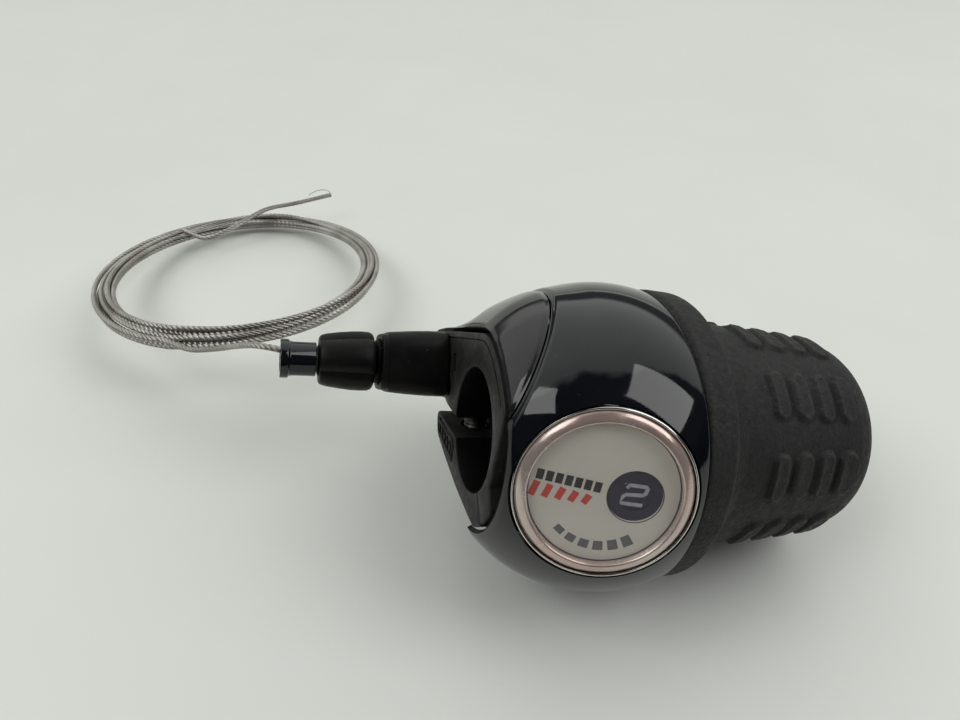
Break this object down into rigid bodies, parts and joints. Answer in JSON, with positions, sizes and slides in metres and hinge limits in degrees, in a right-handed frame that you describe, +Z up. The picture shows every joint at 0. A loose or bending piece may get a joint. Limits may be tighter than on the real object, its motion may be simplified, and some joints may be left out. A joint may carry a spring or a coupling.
{
  "type": "twist-grip gear shifter",
  "caption": "Bicycle twist-grip gear shifter for a hub gear, with a round gear display, a clamp, a barrel adjuster and its coiled inner cable.",
  "frame": {"origin": "on the table, below the middle of the shifter's own bounding box, the free cable left out", "axes": "+X along the shifter from its clamp end to the grip's open end, level; +Y away from the display, towards the coiled cable; +Z up. The bar bore runs 12.4 degrees below +X"},
  "size_m": [0.1602, 0.1476, 0.0568],
  "materials": {
    "matte_black": "fine moulded texture",
    "satin_black": "satin",
    "gloss_black": "high gloss",
    "rubber": "stippled",
    "grey_acetal": "smooth",
    "white_acetal": "smooth",
    "steel": "bright drawn",
    "zinc": "zinc plated",
    "silver_trim": "polished",
    "clear": "clear polycarbonate, polished",
    "cream": "printed, satin",
    "aubergine": "satin"
  },
  "bodies": {
    "housing": {"clamp_bracket": "matte_black", "rear_housing": "satin_black", "hood": "gloss_black", "cable_boss": "matte_black", "mandrel": "matte_black", "retaining_ring": "steel", "wave_washer": "steel", "inner_cable": "steel", "detent_spring": "steel", "dial_base": "matte_black", "dial_face": "cream", "dial_lens": "clear", "dial_bezel": "silver_trim", "clamp_nut": "zinc", "housing_screw_1": "zinc", "housing_screw_2": "zinc", "adjuster_spring": "steel", "cable_lead": "steel", "cable_coil": "steel", "cable_tail": "steel"},
    "grip": {"grip_core": "matte_black", "grip_cover": "rubber", "cable_drum": "grey_acetal", "sector_gear": "white_acetal", "cable_nipple": "steel", "detent_plate": "grey_acetal"},
    "indicator": {"indicator_gear": "white_acetal", "indicator_disc": "aubergine"},
    "adjuster_seat": {"adjuster_washer": "matte_black"},
    "adjuster": {"adjuster_bolt": "satin_black", "adjuster_knob": "matte_black", "casing_stop": "gloss_black"},
    "bolt_washer": {"clamp_washer": "zinc"},
    "bolt": {"clamp_bolt": "steel"},
    "arm": {"clamp_arm": "matte_black"}
  },
  "joints": [
    {"name": "grip_twist", "type": "hinge", "parent": "housing", "child": "grip", "pos_m": [-0.02075, -0.00306, 0.03372], "axis": [0.9767, 0, -0.2147], "range_deg": [-20, 60], "deforming": ["detent_spring", "inner_cable"]},
    {"name": "indicator_turn", "type": "hinge", "parent": "housing", "child": "indicator", "pos_m": [0.00113, -0.00348, 0.02847], "axis": [-0.2036, -0.8565, 0.4744], "range_deg": [-180, 60]},
    {"name": "adjuster_travel", "type": "slide", "parent": "housing", "child": "adjuster_seat", "axis": [-0.9767, 0, 0.2147], "range_m": [-0.001, 0.0015], "deforming": ["adjuster_spring", "inner_cable", "cable_lead"]},
    {"name": "adjuster_turn", "type": "hinge", "parent": "adjuster_seat", "child": "adjuster", "pos_m": [-0.04198, 0.02112, 0.03028], "axis": [-0.9767, 0, 0.2147], "range_deg": [-360, 540], "deforming": ["adjuster_spring", "inner_cable", "cable_lead"]},
    {"name": "bolt_travel", "type": "slide", "parent": "housing", "child": "bolt_washer", "axis": [-0.1908, -0.4586, -0.8679], "range_m": [0, 0.0016]},
    {"name": "bolt_turn", "type": "hinge", "parent": "bolt_washer", "child": "bolt", "pos_m": [-0.01733, 0.0096, 0.02131], "axis": [-0.1908, -0.4586, -0.8679], "range_deg": [0, 720]},
    {"name": "arm_swing", "type": "hinge", "parent": "housing", "child": "arm", "pos_m": [-0.02237, -0.01558, 0.02633], "axis": [0.9767, 0, -0.2147], "range_deg": [-3.5, 0]}
  ],
  "couplings": [
    {"joint": "indicator_turn", "follows": "grip_twist", "ratio": -3},
    {"joint": "adjuster_turn", "follows": "adjuster_travel", "rad_per_m": 6283},
    {"joint": "bolt_turn", "follows": "bolt_travel", "rad_per_m": 7853.9},
    {"joint": "arm_swing", "follows": "bolt_travel", "rad_per_m": -38.179}
  ]
}
